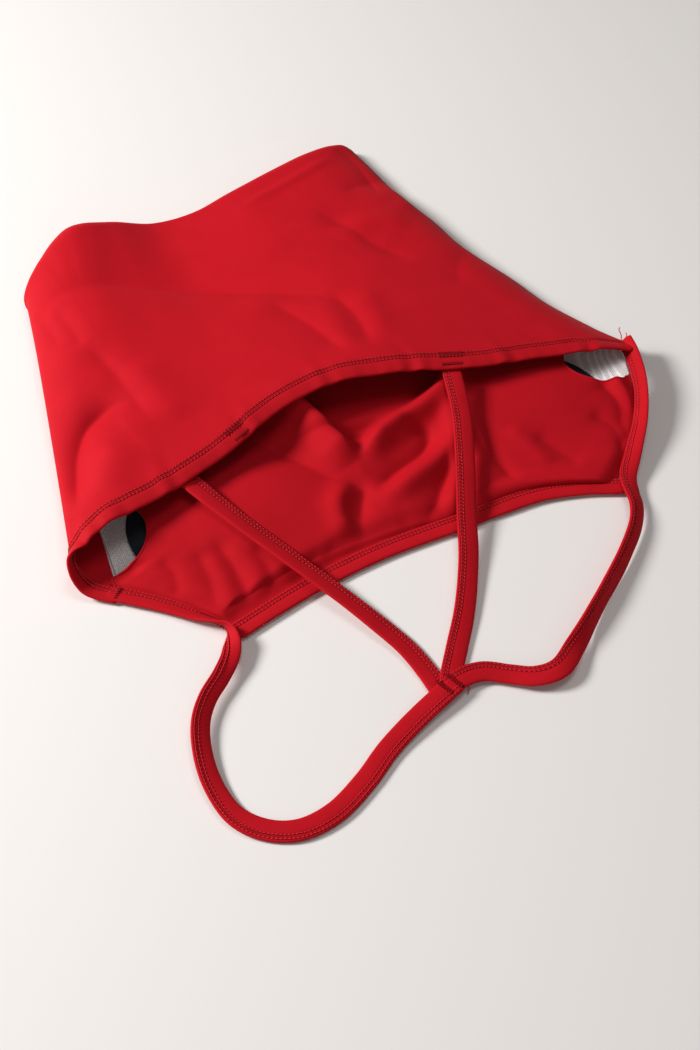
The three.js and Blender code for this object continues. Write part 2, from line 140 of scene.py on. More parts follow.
BACK_EDGE = line_through([
    (171, 0, 9.5), (152, 4, 16), (114, 8, 20), (75, 10, 25), (31, 18, 29), (-8, 21, 30), (-45, 13, 28),
    (-82, -5, 25), (-118, -18, 24), (-151, -27, 22), (-168, -39, 13), (-164, -53, 4), (-151, -63, 1.6),
])
FOLD_TOP = line_through([
    (84, 214, 9), (77, 212, 15), (52, 204, 17), (24, 195, 17), (-6, 186, 15.5), (-32, 180.5, 12),
    (-58, 180, 11.5), (-84, 179.5, 20), (-108, 174.8, 26), (-131, 159, 20), (-143, 149, 12), (-146, 145, 7),
    (-144, 143, 3),
])
RIGHT_ARMHOLE = line_through([(167, -4, 7), (160, -33, 6), (146, -60, 3), (123, -84, 1.2)])
NECKLINE = line_through([
    (123, -84, 1.2), (103, -78, 1.2), (77, -74, 1.2), (31, -77, 1.2), (-19, -81, 1.2), (-60, -89, 1.2),
    (-103, -102, 1.2),
])
LEFT_ARMHOLE = line_through([(-103, -102, 1.2), (-121, -85, 1.2), (-149.5, -64, 1.2)])
FOLD_OUTWARDS = np.array([-0.285, 0.958, 0.0])


# ---- Folds in the cloth ----

def off_path(x, y, path):
    """Signed distance of points from a path, and how far along it they are, from 0 to 1."""
    line = line_through([(a, b, 0) for a, b in path], 6)[:, :2]
    lengths = lengths_along(line)
    best = np.full(x.shape, 1e9)
    signed = np.zeros(x.shape)
    share = np.zeros(x.shape)
    for start, end, travelled in zip(line, line[1:], lengths):
        step = end - start
        size = float(step @ step)
        t = ((x - start[0]) * step[0] + (y - start[1]) * step[1]) / size
        held = np.clip(t, 0, 1)
        away = np.hypot(x - start[0] - held * step[0], y - start[1] - held * step[1])
        side = np.sign(step[0] * (y - start[1]) - step[1] * (x - start[0]))
        nearer = away < best
        best = np.where(nearer, away, best)
        signed = np.where(nearer, side * away, signed)
        share = np.where(nearer, (travelled + held * math.sqrt(size)) / lengths[-1], share)
    return signed, share


def fold(x, y, path, height, left, right, fade=0.3):
    """A soft ridge along a path, with its own width on the left and the right of it."""
    away, share = off_path(x, y, path)
    width = np.where(away > 0, left, right)
    ends = smooth(share / fade + 0.15) * smooth((1 - share) / fade + 0.15)
    return height * ends * np.exp(-(away / width) ** 2)


def crease(x, y, path, depth, left, right, fade=0.3):
    """A sharp valley along a path, with soft cloth rising from it on both sides."""
    away, share = off_path(x, y, path)
    width = np.where(away > 0, left, right)
    ends = smooth(share / fade + 0.1) * smooth((1 - share) / fade + 0.1)
    return -depth * ends * np.exp(-(np.hypot(away, 1.2) - 1.2) / width)


def mound(x, y, centre, radii, height):
    """A broad rise with a flattened crown, or a hollow where its height is below 0."""
    reach = ((x - centre[0]) / radii[0]) ** 2 + ((y - centre[1]) / radii[1]) ** 2
    return height * np.exp(-reach ** 1.2)


# Ridges: path, height, width on the left and on the right. Creases: path, depth, the same widths.
# Mounds: centre, radii, height.

BACK_RIDGES = [
    ([(-8, 171), (30, 184), (68, 200)], 1.0, 3.0, 3.5),
    ([(40, 120), (66, 134), (92, 126)], 1.4, 9, 9),
    ([(12, 78), (12, 56), (13, 30)], 0.9, 8, 8),
    ([(36, 76), (35, 54), (30, 30)], 1.0, 8, 9),
    ([(96, 170), (98, 150), (92, 138)], 1.2, 6, 6),
    ([(-104, 66), (-98, 40), (-90, 14)], 1.6, 16, 9),
    ([(-128, 14), (-138, -4), (-146, -18)], 2.0, 14, 8),
]

BACK_CREASES = [
    ([(-146, 122), (-122, 132), (-72, 122), (-22, 99), (12, 80), (34, 64)], 5.6, 36, 12),
    ([(70, 214), (78, 196), (82, 176), (84, 154)], 2.4, 5, 9),
    ([(104, 178), (88, 173), (58, 164)], 1.2, 5, 6),
    ([(36, 154), (51, 130), (62, 110), (80, 90)], 2.2, 13, 7),
    ([(-18, 88), (-6, 64), (2, 44), (8, 24)], 2.2, 5, 13),
    ([(18, 82), (24, 54), (22, 26)], 2.0, 5, 12),
    ([(-126, 86), (-116, 62), (-112, 43), (-107, 20)], 2.8, 6, 14),
    ([(-144, 128), (-140, 107), (-138, 88)], 1.5, 4, 7),
    ([(-134, 120), (-129, 100), (-127, 82)], 1.5, 4, 7),
    ([(-112, 40), (-126, 39), (-139, 32), (-148, 18), (-153, 2), (-159, -22)], 7.5, 9, 8),
    ([(118, 100), (104, 84), (92, 62)], 1.0, 8, 8),
]

LINING_RIDGES = [
    ([(-36, 34), (-27, 16), (-21, 3), (-15, -12), (-9, -32)], 9.5, 4.4, 12.0),
    ([(-44, 36), (-33, 20), (-25, 4)], 5.5, 4.4, 13.0),
    ([(72, 36), (66, 16), (52, 2)], 5.0, 10.0, 6.0),
    ([(66, 30), (62, 8), (42, -6), (22, -13), (8, -19), (-6, -33)], 9.0, 7.5, 5.0),
    ([(60, 2), (54, -16), (50, -30), (40, -40), (16, -51), (-8, -60)], 4.6, 6.5, 6.5),
    ([(-16, -40), (-25, -49), (-30, -60), (-30, -74)], 3.2, 5.0, 7.0),
    ([(50, -44), (38, -60), (28, -76)], 2.6, 4.0, 4.0),
    ([(-90, -58), (-84, -74), (-84, -92)], 0.8, 5.5, 5.5),
    ([(-102, -60), (-99, -76), (-99, -94)], 0.9, 4.5, 4.5),
    ([(150, -20), (155, -36), (151, -54)], 2.2, 2.8, 3.4),
    ([(78, -36), (86, -52), (92, -68)], 1.2, 6.0, 5.0),
]

LINING_CREASES = [
    ([(22, -11), (32, -18), (35, -27), (28, -35), (12, -42), (-7, -52)], 4.8, 3.6, 5.5),
    ([(-58, 4), (-50, -8), (-35, -25), (-23, -39), (-12, -48), (-16, -57), (-21, -68), (-24, -80)],
     3.8, 5.5, 9.0),
    ([(44, -34), (36, -50), (26, -64), (15, -79)], 3.4, 3.4, 5.5),
    ([(56, -40), (46, -58), (38, -76)], 3.0, 3.0, 4.0),
    ([(60, -28), (63, -46), (70, -70)], 2.6, 5.0, 4.0),
    ([(90, -44), (98, -56), (108, -72)], 1.3, 5.0, 4.5),
    ([(-98, -54), (-92, -72), (-91, -96)], 1.9, 3.6, 6.0),
    ([(-108, -56), (-106, -74), (-108, -94)], 1.3, 3.6, 5.5),
    ([(-80, -64), (-76, -78), (-78, -92)], 1.3, 3.5, 3.5),
    ([(-127, -56), (-122, -66), (-124, -80)], 1.4, 3.4, 3.4),
    ([(142, -18), (147, -36), (142, -60)], 3.4, 3.4, 6.0),
    ([(126, -40), (136, -54), (133, -72)], 1.8, 5.0, 4.5),
    ([(104, -66), (70, -64), (30, -66)], 1.0, 5.0, 4.0),
]

LINING_MOUNDS = [
    ((-80, -30), (56, 42), 7.0),
    ((98, -14), (52, 38), 6.5),
    ((-8, -36), (52, 36), 3.2),
    ((24, 24), (30, 22), -9.0),
    ((-2, 2), (13, 18), -5.0),
]


# ---- Meshes ----

def make_mesh(name, points, faces):
    """A mesh object from points on the drawing, in millimetres."""
    drawn = np.array(points, dtype=float).reshape(-1, 3)
    drawn[:, 2] = np.maximum(drawn[:, 2], FLOOR_GAP)
    placed = drawn * MM + drawing_origin
    mesh = bpy.data.meshes.new(name)
    mesh.from_pydata(placed.tolist(), [], faces)
    mesh.polygons.foreach_set("use_smooth", [True] * len(mesh.polygons))
    mesh.update()
    piece = bpy.data.objects.new(name, mesh)
    bpy.context.scene.collection.objects.link(piece)
    return piece


def soften(piece, rounds):
    """Rounds a piece's surface by subdividing it."""
    softness = piece.modifiers.new("softness", "SUBSURF")
    softness.levels = rounds
    softness.render_levels = rounds


def grid_faces(rows, columns, wrap=False, start=0):
    """Faces between rows of points, closed into a ring where they wrap."""
    faces = []
    for i in range(rows - 1):
        for j in range(columns if wrap else columns - 1):
            k = (j + 1) % columns
            faces.append((
                start + i * columns + j,
                start + i * columns + k,
                start + (i + 1) * columns + k,
                start + (i + 1) * columns + j,
            ))
    return faces


def make_cloth(name, grid, thickness, finish, rounds=1):
    """A sheet of cloth: its middle surface thickened evenly, with its cut edges closed."""
    rows, columns = grid.shape[:2]
    middle = grid.copy()
    middle[..., 2] = np.maximum(middle[..., 2], thickness / 2 + FLOOR_GAP)
    piece = make_mesh(name, middle, grid_faces(rows, columns))
    thicken = piece.modifiers.new("thickness", "SOLIDIFY")
    thicken.thickness = thickness * MM
    thicken.offset = 0
    thicken.use_rim = True
    if rounds:
        soften(piece, rounds)
    piece.data.materials.append(finish)
    return piece


def finish_piece(piece, slot, *nodes, body="garment"):
    """Puts a piece on its body, in place of the nodes it stands for. Its material slot is not used."""
    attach(piece, body)
    if nodes:
        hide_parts(*nodes)


def frame_of(line, sideways):
    """Along, sideways and upwards directions at each point of an edge or a strap."""
    along = unit(np.gradient(line, axis=0))
    side = unit(sideways - along * np.sum(sideways * along, axis=1, keepdims=True))
    return along, side, np.cross(along, side)


def turned(side, normal, angles):
    """Turns the sideways and upwards directions about the line, in degrees."""
    angle = np.radians(np.asarray(angles, dtype=float))[:, None]
    return side * np.cos(angle) + normal * np.sin(angle), normal * np.cos(angle) - side * np.sin(angle)


def sweep(line, side, normal, section):
    """Points of a section carried along a line, and the faces of the closed tape they make.

    The section is one outline for the whole line, or one for each of its points.
    """
    shape = np.array(section, dtype=float)
    if shape.ndim == 2:
        shape = np.tile(shape, (len(line), 1, 1))
    count = shape.shape[1]
    points = line[:, None, :] + side[:, None, :] * shape[..., :1] + normal[:, None, :] * shape[..., 1:]
    faces = grid_faces(len(line), count, wrap=True)
    last = (len(line) - 1) * count
    faces.append(tuple(range(count))[::-1])
    faces.append(tuple(range(last, last + count)))
    return points.reshape(-1, 3), faces


def round_section(radius, sides):
    """The outline of a thread or a rolled edge."""
    return [(math.cos(a) * radius, math.sin(a) * radius) for a in np.linspace(0, 2 * math.pi, sides + 1)[:-1]]


def tape_section(width, thickness):
    """A folded tape, open edge at 0, with two stitch lines pressed in on both faces."""
    half = thickness / 2
    pressed = half - GROOVE_DEPTH
    upper = [
        (-0.3, 0.25 * half), (-0.1, 0.8 * half), (0.5, 0.98 * half), (STITCH_ROWS[0], pressed),
        (1.8, 0.96 * half), (2.5, 0.97 * half), (STITCH_ROWS[1], pressed), (3.9, 0.98 * half),
        (5.0, 1.06 * half), (0.72 * width, 1.04 * half), (width - 1.3, 0.9 * half),
        (width - 0.45, 0.62 * half), (width, 0.0),
    ]
    lower = [(w, -n) for w, n in upper[:-1]][::-1]
    return upper + lower


def stitch_places(line, side, normal, points_each):
    """Places and directions along a tape, with so many points to each stitch."""
    stitches = max(3, int(lengths_along(line)[-1] / STITCH_PITCH))
    shares = np.linspace(0.004, 0.996, stitches * points_each + 1)
    sides = unit(at_share(side, shares, by_length=False))
    normals = unit(at_share(normal, shares, by_length=False))
    return shares, at_share(line, shares), sides, normals


def stitch_parts(line, side, normal, row, level, seed):
    """One row of running stitches: thread that dips into the cloth between stitches."""
    shares, centre, sides, normals = stitch_places(line, side, normal, 4)
    phase = np.arange(len(shares)) % 4
    rise = np.array([-0.45, 0.02, 0.12, 0.02])[phase]
    wander = 0.08 * ripple(shares * lengths_along(line)[-1] * 0.4, seed)
    path = centre + sides * (row + wander)[:, None] + normals * (level + rise)[:, None]
    return sweep(path, sides, normals, round_section(STITCH_RADIUS, 5))


def crossing_parts(line, side, normal, level):
    """The thread that runs to and fro between the two rows of stitches."""
    shares, centre, sides, normals = stitch_places(line, side, normal, 2)
    across = np.where(np.arange(len(shares)) % 2 == 0, STITCH_ROWS[0] + 0.15, STITCH_ROWS[1] - 0.15)
    path = centre + sides * across[:, None] + normals * level
    return sweep(path, sides, normals, round_section(CROSSING_RADIUS, 4))


def groove_shade_ribbon(line, side, normal, row, level):
    """A dark ribbon along a row of stitches: painted shade of the groove the stitches press into the cloth.
    """
    path = line + side * row + normal * level
    ribbon = [(-0.32, -0.1), (0.32, -0.1), (0.32, 0.1), (-0.32, 0.1)]
    return sweep(path, side, normal, ribbon)


def join_parts(parts):
    """Gathers several sets of points and faces into one."""
    points = []
    faces = []
    offset = 0
    for part_points, part_faces in parts:
        points.append(part_points)
        faces.extend(tuple(index + offset for index in face) for face in part_faces)
        offset += len(part_points)
    return np.vstack(points), faces


def make_tape(name, line, side, normal, widths, thickness, finish, seed):
    """A folded tape with its two rows of stitches, a little uneven along its length."""
    along = lengths_along(line)
    wide = widths * (1 + 0.02 * ripple(along * 0.11, seed))
    thick = thickness * (1 + 0.06 * ripple(along * 0.23, seed + 2))
    sections = [tape_section(w, t) for w, t in zip(wide, thick)]
    tape = make_mesh(name, *sweep(line, side, normal, sections))
    soften(tape, 1)
    tape.data.materials.append(finish)
    level = thickness / 2 - 0.1
    threads = []
    pressed = []
    for face in (1, -1):
        for number, row in enumerate(STITCH_ROWS):
            threads.append(stitch_parts(line, side, normal, row, face * level, seed + number))
            # Each row also gets a dark ribbon under it: painted shade in its groove.
            pressed.append(groove_shade_ribbon(line, side, normal, row, face * (level - 0.05)))
        threads.append(crossing_parts(line, side, normal, face * (level + 0.1)))
    stitches = make_mesh(name + "_stitches", *join_parts(threads))
    stitches.data.materials.append(thread_red)
    # The dark ribbons as one piece, in painted groove shade.
    painted_groove_lines = make_mesh(name + "_painted_groove_lines", *join_parts(pressed))
    painted_groove_lines.data.materials.append(groove_shade_red)
    return tape, stitches, painted_groove_lines


# ---- Finishes ----

def new_group(name, inputs, outputs):
    """A shader node group with named inputs and outputs."""
    group = bpy.data.node_groups.new(name, "ShaderNodeTree")
    for label, kind, value in inputs:
        socket = group.interface.new_socket(name=label, in_out="INPUT", socket_type=kind)
        if value is not None:
            socket.default_value = value
    for label, kind in outputs:
        group.interface.new_socket(name=label, in_out="OUTPUT", socket_type=kind)
    return group, group.nodes.new("NodeGroupInput"), group.nodes.new("NodeGroupOutput")


def math_node(tree, operation, first, second):
    """A sum or a product of two values, each a number or another node's output."""
    node = tree.nodes.new("ShaderNodeMath")
    node.operation = operation
    for socket, value in zip(node.inputs, (first, second)):
        if isinstance(value, (int, float)):
            socket.default_value = value
        else:
            tree.links.new(value, socket)
    return node.outputs[0]


def build_knit_grain():
    """Fine ribs of a warp knit with a soft unevenness: a shade and a height."""
    tree, given, made = new_group(
        "knit_grain",
        [("Rib Scale", "NodeSocketFloat", 2600.0), ("Unevenness", "NodeSocketFloat", 90.0)],
        [("Shade", "NodeSocketFloat"), ("Height", "NodeSocketFloat")],
    )
    link = tree.links.new
    place = tree.nodes.new("ShaderNodeTexCoord")
    ribs = tree.nodes.new("ShaderNodeTexWave")
    ribs.bands_direction = "DIAGONAL"
    ribs.inputs["Distortion"].default_value = 1.4
    ribs.inputs["Detail"].default_value = 1.0
    link(place.outputs["Object"], ribs.inputs["Vector"])
    link(given.outputs["Rib Scale"], ribs.inputs["Scale"])
    grain = tree.nodes.new("ShaderNodeTexNoise")
    grain.inputs["Detail"].default_value = 3.0
    link(place.outputs["Object"], grain.inputs["Vector"])
    link(given.outputs["Rib Scale"], grain.inputs["Scale"])
    cloud = tree.nodes.new("ShaderNodeTexNoise")
    cloud.inputs["Detail"].default_value = 2.0
    link(place.outputs["Object"], cloud.inputs["Vector"])
    link(given.outputs["Unevenness"], cloud.inputs["Scale"])
    fine = math_node(tree, "ADD", ribs.outputs["Fac"], grain.outputs["Fac"])
    link(math_node(tree, "MULTIPLY", fine, 0.5), made.inputs["Height"])
    fine_share = math_node(tree, "MULTIPLY", fine, 0.3)
    cloud_share = math_node(tree, "MULTIPLY", cloud.outputs["Fac"], 0.7)
    link(math_node(tree, "ADD", fine_share, cloud_share), made.inputs["Shade"])
    return tree


def build_net_weave():
    """Small meshes of a fine net: a mask of its threads and a height."""
    tree, given, made = new_group(
        "net_weave",
        [("Mesh Scale", "NodeSocketFloat", 1100.0)],
        [("Threads", "NodeSocketFloat"), ("Height", "NodeSocketFloat")],
    )
    link = tree.links.new
    place = tree.nodes.new("ShaderNodeTexCoord")
    cells = tree.nodes.new("ShaderNodeTexVoronoi")
    cells.feature = "DISTANCE_TO_EDGE"
    cells.inputs["Randomness"].default_value = 0.25
    link(place.outputs["Object"], cells.inputs["Vector"])
    link(given.outputs["Mesh Scale"], cells.inputs["Scale"])
    edge = tree.nodes.new("ShaderNodeMapRange")
    edge.inputs["From Min"].default_value = 0.1
    edge.inputs["From Max"].default_value = 0.3
    edge.inputs["To Min"].default_value = 1.0
    edge.inputs["To Max"].default_value = 0.0
    link(cells.outputs["Distance"], edge.inputs["Value"])
    link(edge.outputs["Result"], made.inputs["Threads"])
    link(edge.outputs["Result"], made.inputs["Height"])
    return tree


def shader_of(name):
    """A new material, its node tree and its shader."""
    material = bpy.data.materials.new(name)
    material.use_nodes = True
    return material, material.node_tree, material.node_tree.nodes["Principled BSDF"]


def shade_and_relief(tree, shader, dark, light, share, height, strength, distance):
    """Mixes two shades into the shader's colour and raises its surface by a height."""
    shades = tree.nodes.new("ShaderNodeMix")
    shades.data_type = "RGBA"
    shades.inputs["A"].default_value = (*dark, 1)
    shades.inputs["B"].default_value = (*light, 1)
    tree.links.new(share, shades.inputs["Factor"])
    tree.links.new(shades.outputs["Result"], shader.inputs["Base Color"])
    relief = tree.nodes.new("ShaderNodeBump")
    relief.inputs["Strength"].default_value = strength
    relief.inputs["Distance"].default_value = distance
    tree.links.new(height, relief.inputs["Height"])
    tree.links.new(relief.outputs["Normal"], shader.inputs["Normal"])


def knit_finish(name, dark, light, roughness, sheen, bump=0.12, rib=2600.0,
                sheen_tint=(1.0, 0.12, 0.14), gloss_tint=(1.0, 0.42, 0.42)):
    """A knitted finish that varies between two shades, with the red cloth's own sheen and gloss."""
    material, tree, shader = shader_of(name)
    knit = tree.nodes.new("ShaderNodeGroup")
    knit.node_tree = knit_grain
    knit.inputs["Rib Scale"].default_value = rib
    knit.inputs["Unevenness"].default_value = 60.0
    shade_and_relief(tree, shader, dark, light, knit.outputs["Shade"], knit.outputs["Height"], bump, 0.0002)
    shader.inputs["Roughness"].default_value = roughness
    shader.inputs["Sheen Weight"].default_value = sheen
    shader.inputs["Sheen Roughness"].default_value = 0.4
    shader.inputs["Sheen Tint"].default_value = (*sheen_tint, 1)
    shader.inputs["Specular IOR Level"].default_value = 0.22
    shader.inputs["Specular Tint"].default_value = (*gloss_tint, 1)
    return material


def undyed_finish(name, dark, light, roughness, sheen, **knit):
    """A knitted or foam finish with a colourless sheen and gloss."""
    white = (1, 1, 1)
    return knit_finish(name, dark, light, roughness, sheen, sheen_tint=white, gloss_tint=white, **knit)


def net_finish(name, gaps, threads):
    """A fine net: pale threads over darker gaps."""
    material, tree, shader = shader_of(name)
    weave = tree.nodes.new("ShaderNodeGroup")
    weave.node_tree = net_weave
    mask, height = weave.outputs["Threads"], weave.outputs["Height"]
    shade_and_relief(tree, shader, gaps, threads, mask, height, 0.4, 0.0003)
    shader.inputs["Roughness"].default_value = 0.8
    return material


knit_grain = build_knit_grain()
net_weave = build_net_weave()
jersey_red = knit_finish("jersey_red", (0.40, 0.0028, 0.0088), (0.50, 0.0048, 0.0132), 0.78, 0.10)
binding_red = knit_finish(
    "binding_red", (0.38, 0.0024, 0.0080), (0.50, 0.0046, 0.012), 0.72, 0.10, bump=0.2, rib=1800)
# The lining is the same red jersey, made darker: painted shade from the back panel above it.
shaded_lining_red = knit_finish("shaded_lining_red", (0.37, 0.0023, 0.0075), (0.47, 0.0041, 0.0115), 0.78, 0.10)
thread_red = knit_finish("thread_red", (0.46, 0.008, 0.016), (0.66, 0.022, 0.036), 0.6, 0.1, rib=4200)
# A darker copy of the thread red for the tacks: painted shade of the dense tack stitches.
shaded_tack_red = knit_finish("shaded_tack_red", (0.16, 0.0012, 0.004), (0.30, 0.004, 0.010), 0.7, 0.0, rib=4200)
# Near-black red for the ribbons under the stitch rows: painted shade of the stitch grooves, not a thread
# colour.
groove_shade_red = knit_finish(
    "groove_shade_red", (0.07, 0.0006, 0.002), (0.12, 0.001, 0.003), 0.9, 0.0, rib=4200)
elastic_white = undyed_finish(
    "elastic_white", (0.62, 0.58, 0.53), (0.8, 0.77, 0.72), 0.75, 0.1, bump=0.5, rib=900)
cotton_lining = undyed_finish("cotton_lining", (0.66, 0.62, 0.58), (0.82, 0.79, 0.75), 0.85, 0.1, bump=0.3)
foam_black = undyed_finish("foam_black", (0.006, 0.009, 0.013), (0.016, 0.021, 0.028), 0.82, 0.05, bump=0.3)
power_net = net_finish("power_net", (0.30, 0.27, 0.27), (0.86, 0.85, 0.86))


# ---- Camera, floor and light ----

AZIMUTH = math.radians(24.71)
ELEVATION = math.radians(53.66)
ROLL = math.radians(4.28)
CAMERA_PLACE = (-0.2146, -0.4721, 0.6148)
LENS = 49.55
FLOOR_REACH = 6.0


def place_camera():
    """A camera above the neckline end, looking down along the body."""
    forward = np.array([
        math.sin(AZIMUTH) * math.cos(ELEVATION),
        math.cos(AZIMUTH) * math.cos(ELEVATION),
        -math.sin(ELEVATION),
    ])
    level = np.array([math.cos(AZIMUTH), -math.sin(AZIMUTH), 0.0])
    above = np.cross(level, forward)
    right = math.cos(ROLL) * level + math.sin(ROLL) * above
    upright = math.cos(ROLL) * above - math.sin(ROLL) * level
    camera = bpy.data.objects.new("camera", bpy.data.cameras.new("camera"))
    camera.data.sensor_fit = "VERTICAL"
    camera.data.sensor_height = 36.0
    camera.data.lens = LENS
    camera.data.clip_end = 20.0
    turn = Matrix((right, upright, -forward)).transposed()
    camera.matrix_world = Matrix.Translation(CAMERA_PLACE) @ turn.to_4x4()
    bpy.context.scene.collection.objects.link(camera)
    bpy.context.scene.camera = camera


def place_light(name, place, size, power, colour):
    """A round softbox that faces the garment."""
    lamp = bpy.data.lights.new(name, "AREA")
    lamp.shape = "DISK"
    lamp.size = size
    lamp.energy = power
    lamp.color = colour
    light = bpy.data.objects.new(name, lamp)
    light.location = place
    light.rotation_euler = (-Vector(place)).to_track_quat("-Z", "Y").to_euler()
    bpy.context.scene.collection.objects.link(light)


def lay_floor():
    """A wide pale sheet that the garment lies on."""
    corners = [(x * FLOOR_REACH, y * FLOOR_REACH, 0) for x, y in ((-1, -1), (1, -1), (1, 1), (-1, 1))]
    mesh = bpy.data.meshes.new("floor")
    mesh.from_pydata(corners, [], [(0, 1, 2, 3)])
    floor = bpy.data.objects.new("floor", mesh)
    bpy.context.scene.collection.objects.link(floor)
    material, _, shader = shader_of("pale_floor")
    shader.inputs["Base Color"].default_value = (0.80, 0.775, 0.76, 1)
    shader.inputs["Roughness"].default_value = 0.7
    floor.data.materials.append(material)


def light_studio():
    """A low key light at the waist's left, with a weak one above and another in front."""
    world = bpy.data.worlds.new("studio")
    world.use_nodes = True
    background = world.node_tree.nodes["Background"]
    background.inputs["Color"].default_value = (1.0, 0.985, 0.97, 1)
    background.inputs["Strength"].default_value = 0.12
    bpy.context.scene.world = world
    bpy.context.scene.view_settings.view_transform = "Standard"
    place_light("key_softbox", (-1.30, 0.62, 0.95), 0.50, 39, (1.0, 0.985, 0.97))
    place_light("top_softbox", (0.3, 0.3, 1.7), 0.9, 6, (1.0, 0.98, 0.96))
    place_light("front_fill", (-0.5, -1.6, 1.0), 1.4, 4, (1.0, 0.98, 0.96))


place_camera()
lay_floor()
light_studio()


# ---- Back panel: from its scooped edge over the body, round the waist fold and back under ----

SIDE_BOW = 9.0
BACK_COLUMNS = 200
UPPER_ROWS = 110
FOLD_STEPS = 12
SEAT_ROWS = 36
SIDE_ROUND_RIGHT = 46.0
SIDE_ROUND_LEFT = 17.0
LEFT_SIDE_LEVEL = 1.8
SEAT_LEVEL = 0.45
SEAT_LEG_CURVE = 0.35
FRONT_LOWER_LEVEL = 3.0
FRONT_LEG_CURVE = 0.2
CROTCH_CENTRE = np.array([0.0, 9.0])
CROTCH_HALF = np.array([30.0, 5.0])
HIP_RIGHT = np.array([88.0, 118.0])
HIP_LEFT = np.array([-132.0, 72.0])


def leg_line(hip, crotch, curve, count):
    """A leg opening, from the hip to the crotch."""
    pull = np.array([crotch[0] + (hip[0] - crotch[0]) * curve, hip[1] + (crotch[1] - hip[1]) * curve])
    t = np.linspace(0, 1, 60)[:, None]
    return even((1 - t) ** 2 * hip + 2 * t * (1 - t) * pull + t ** 2 * crotch, count)


def lower_edge(curve, columns):
    """The lower edge of the seat or the front in plan: leg, crotch, leg."""
    leg_count = int(columns * 0.375)
    crotch_count = columns - 2 * leg_count
    right = leg_line(HIP_RIGHT, CROTCH_CENTRE + CROTCH_HALF, curve, leg_count)
    left = leg_line(HIP_LEFT, CROTCH_CENTRE - CROTCH_HALF, curve, leg_count)[::-1]
    t = np.linspace(0, 1, crotch_count + 2)[1:-1, None]
    crotch = right[-1] * (1 - t) + left[0] * t
    return np.vstack([right, crotch, left]), right, left[::-1]


def turn_under(top, lower_level, steps, bulge=1.0):
    """Rows of points round the waist fold, from its top down to the layer below."""
    radius = (top[:, 2] - lower_level) / 2
    rows = []
    for step in range(1, steps):
        angle = math.pi / 2 - math.pi * step / steps
        row = top + FOLD_OUTWARDS * (bulge * radius * math.cos(angle))[:, None]
        row[:, 2] = lower_level + radius + radius * math.sin(angle)
        rows.append(row)
    return np.array(rows)


def lower_plan(top, edge, rows):
    """The lower half in plan, from the waist fold to its lower edge."""
    s = np.linspace(0, 1, rows)[:, None, None]
    return top[None, :, :2] * (1 - s) + edge[None] * s


def back_folds(x, y, t, along_edge):
    """How far the back panel's folds lift it from a straight drape."""
    lift = np.zeros_like(x)
    for path, height, left, right in BACK_RIDGES:
        lift += fold(x, y, path, height, left, right)
    for path, depth, left, right in BACK_CREASES:
        lift += crease(x, y, path, depth, left, right)
    lift += 2.2 * np.sin(math.pi * t) * np.exp(-((x - 10) / 95) ** 2)
    lift += 0.35 * ripple(along_edge * 0.32, 3.0) * np.exp(-t * 190 / 9)
    lift += 0.45 * ripple(x * 0.035 + y * 0.05, 5.0) * np.sin(math.pi * t)
    return lift


def rounded_side(from_side, reach):
    """Rises in an arc from 0 at a side seam to 1 at its reach."""
    return np.clip(1 - (1 - np.clip(from_side / reach, 0, 1)) ** 2, 0, 1)


def upper_back(shares, edge_length):
    """The back panel's upper half, from its scooped edge to the top of the waist fold."""
    edge = at_share(BACK_EDGE, shares, by_length=False)
    top = at_share(FOLD_TOP, shares, by_length=False)
    t = np.linspace(0, 1, UPPER_ROWS)[:, None]
    along_edge = np.linspace(0, edge_length, BACK_COLUMNS)[None, :]
    from_right = along_edge * (1 - 0.35 * t)
    from_left = (edge_length - along_edge) * (1 - 0.5 * t)
    upper = edge[None] * (1 - t[..., None]) + top[None] * t[..., None]
    x, y = upper[..., 0].copy(), upper[..., 1].copy()
    bow = np.sin(math.pi * t) * np.exp(-from_right / SIDE_FADE)
    wave = np.sin(math.pi * t) * np.sin(21.0 * t + 0.6) * np.exp(-from_right / 20)
    upper[..., 0] += 1.4 * wave - SIDE_BOW * bow
    upper[..., 1] -= 2.0 * bow
    rolled = smooth((shares - 0.88) / 0.08)[None, :] * smooth((0.4 - t) / 0.3)
    height = upper[..., 2] + back_folds(x, y, t, along_edge) * (1 - rolled)
    right_level = np.interp(t, [0, 0.08, 0.25, 0.9, 1], [9.5, 5.5, 2.6, 3.0, 4.0])
    height = right_level + (height - right_level) * rounded_side(from_right, SIDE_ROUND_RIGHT) ** 0.6
    kept = smooth((0.25 - t) / 0.2)
    dropped = LEFT_SIDE_LEVEL + (height - LEFT_SIDE_LEVEL) * np.sqrt(rounded_side(from_left, SIDE_ROUND_LEFT))
    upper[..., 2] = height * kept + dropped * (1 - kept)
    return upper


def back_panel_grid():
    """The whole back panel: its upper half, the waist fold and the seat folded under."""
    edge_lengths = lengths_along(BACK_EDGE)
    shares = np.interp(
        np.linspace(0, edge_lengths[-1], BACK_COLUMNS), edge_lengths, np.linspace(0, 1, len(BACK_EDGE)))
    upper = upper_back(shares, edge_lengths[-1])
    seat_plan = lower_plan(upper[-1], lower_edge(SEAT_LEG_CURVE, BACK_COLUMNS)[0], SEAT_ROWS)
    seat = np.concatenate([seat_plan, np.full(seat_plan.shape[:2] + (1,), SEAT_LEVEL)], axis=2)
    return np.concatenate([upper, turn_under(upper[-1], SEAT_LEVEL, FOLD_STEPS, bulge=0.9), seat])


back_grid = back_panel_grid()
back_panel = make_cloth("back_panel_cloth", back_grid, CLOTH, jersey_red)
finish_piece(back_panel, "red_jersey", "back_panel")

